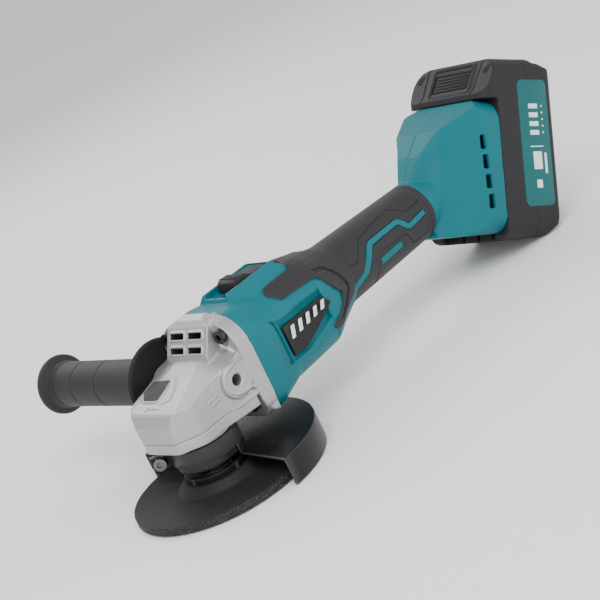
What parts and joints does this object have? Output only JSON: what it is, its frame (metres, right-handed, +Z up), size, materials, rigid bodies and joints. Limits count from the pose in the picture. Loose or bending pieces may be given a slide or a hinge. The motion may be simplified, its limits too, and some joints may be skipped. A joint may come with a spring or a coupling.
{
  "type": "cordless angle grinder",
  "caption": "Cordless angle grinder with a depressed-centre wheel under a swivelling guard, screw-in side handle, rubber-covered body grip and a battery pack that slides onto a leaning foot.",
  "frame": {"origin": "on the spindle axis, halfway along the free end of the spindle thread, inside the opening below the lock nut", "axes": "X runs back along the motor and grip to the battery, Y points to the side handle, Z points up along the spindle"},
  "size_m": [0.4208, 0.2187, 0.1257],
  "materials": {
    "cast_aluminium": "sand-textured casting, bead blasted",
    "polished_steel": "ground steel",
    "gear_steel": "hardened gear steel, oiled",
    "black_steel": "black satin coating",
    "dark_steel": "blackened steel",
    "zinc_steel": "zinc plated",
    "abrasive": "bonded abrasive grit",
    "teal_plastic": "moulded, fine spark texture",
    "grip_rubber": "moulded soft grip",
    "charcoal_plastic": "moulded, fine texture",
    "badge_black": "textured black",
    "label_teal": "printed label",
    "black_plastic": "glass-filled plastic",
    "seal_rubber": "smooth",
    "bronze": "sintered bronze",
    "contact_metal": "plated contact",
    "laminations": "stacked sheets",
    "magnet": "sintered magnet",
    "winding": "enamelled copper",
    "circuit_board": "solder mask",
    "cell_wrap": "shrink sleeve"
  },
  "bodies": {
    "housing": {"gear_case": "cast_aluminium", "bearing_retainer": "cast_aluminium", "retainer_screws": "dark_steel", "front_screws": "dark_steel", "lock_spring": "polished_steel", "spindle_bearing_outer": "polished_steel", "spindle_top_bush": "bronze", "spindle_seal": "seal_rubber", "housing_right": "teal_plastic", "housing_left": "teal_plastic", "grip_rubber_right": "grip_rubber", "grip_rubber_left": "grip_rubber", "side_badge_right": "badge_black", "side_badge_left": "badge_black", "housing_screws": "dark_steel", "switch_module": "black_plastic", "front_bearing_outer": "polished_steel", "rear_bearing_outer": "polished_steel", "stator_core": "laminations", "stator_coils": "winding", "motor_sleeve": "black_plastic", "fan_baffle": "black_plastic", "control_board": "circuit_board", "terminal_block": "black_plastic", "terminal_blades": "contact_metal"},
    "spindle_set": {"spindle": "polished_steel", "spindle_bearing_inner": "polished_steel", "crown_gear": "gear_steel", "gear_clip": "polished_steel", "inner_flange": "dark_steel", "grinding_wheel": "abrasive", "lock_nut": "dark_steel"},
    "rotor_set": {"pinion": "gear_steel", "rotor_shaft": "polished_steel", "rotor_magnet": "magnet", "fan": "black_plastic", "front_bearing_inner": "polished_steel", "rear_bearing_inner": "polished_steel"},
    "guard": {"wheel_guard": "black_steel", "guard_clamp": "black_steel", "guard_screw": "zinc_steel", "guard_nut": "zinc_steel"},
    "side_handle": {"handle_grip": "grip_rubber", "handle_stud": "polished_steel"},
    "spindle_lock": {"lock_button": "charcoal_plastic", "lock_pin": "polished_steel"},
    "switch": {"switch_slider": "charcoal_plastic", "switch_rod": "black_plastic"},
    "battery": {"battery_front": "charcoal_plastic", "battery_case": "charcoal_plastic", "battery_label_right": "label_teal", "battery_label_left": "label_teal", "battery_cells": "cell_wrap", "cell_holder": "black_plastic", "battery_board": "circuit_board", "battery_contacts": "contact_metal", "battery_screws": "dark_steel"},
    "pack_button": {"battery_button": "charcoal_plastic"}
  },
  "joints": [
    {"name": "spindle_spin", "type": "hinge", "parent": "housing", "child": "spindle_set", "pos_m": [0, 0, 0], "axis": [0, 0, 1], "continuous": true},
    {"name": "rotor_spin", "type": "hinge", "parent": "housing", "child": "rotor_set", "pos_m": [0.05, 0, 0.0597], "axis": [1, 0, 0], "continuous": true},
    {"name": "guard_swivel", "type": "hinge", "parent": "housing", "child": "guard", "pos_m": [0, 0, 0.0262], "axis": [0, 0, 1], "range_deg": [-70, 110]},
    {"name": "side_handle_turn", "type": "hinge", "parent": "housing", "child": "side_handle", "pos_m": [0.0179, 0.05, 0.0584], "axis": [0, 1, 0], "range_deg": [0, 360]},
    {"name": "switch_slide", "type": "slide", "parent": "housing", "child": "switch", "axis": [-1, 0, 0], "range_m": [0, 0.006]},
    {"name": "spindle_lock_press", "type": "slide", "parent": "housing", "child": "spindle_lock", "axis": [0, 0, -1], "range_m": [0, 0.0016], "stiffness_N_per_m": 600, "springref_m": -0.001, "deforming": ["lock_spring"]},
    {"name": "battery_slide", "type": "slide", "parent": "housing", "child": "battery", "axis": [0.4384, 0, 0.8988], "range_m": [0, 0.085]},
    {"name": "battery_button_press", "type": "slide", "parent": "battery", "child": "pack_button", "axis": [0.5807, 0, -0.8141], "range_m": [0, 0.003], "stiffness_N_per_m": 500, "springref_m": -0.001}
  ],
  "couplings": [
    {"joint": "rotor_spin", "follows": "spindle_spin", "ratio": 3}
  ]
}
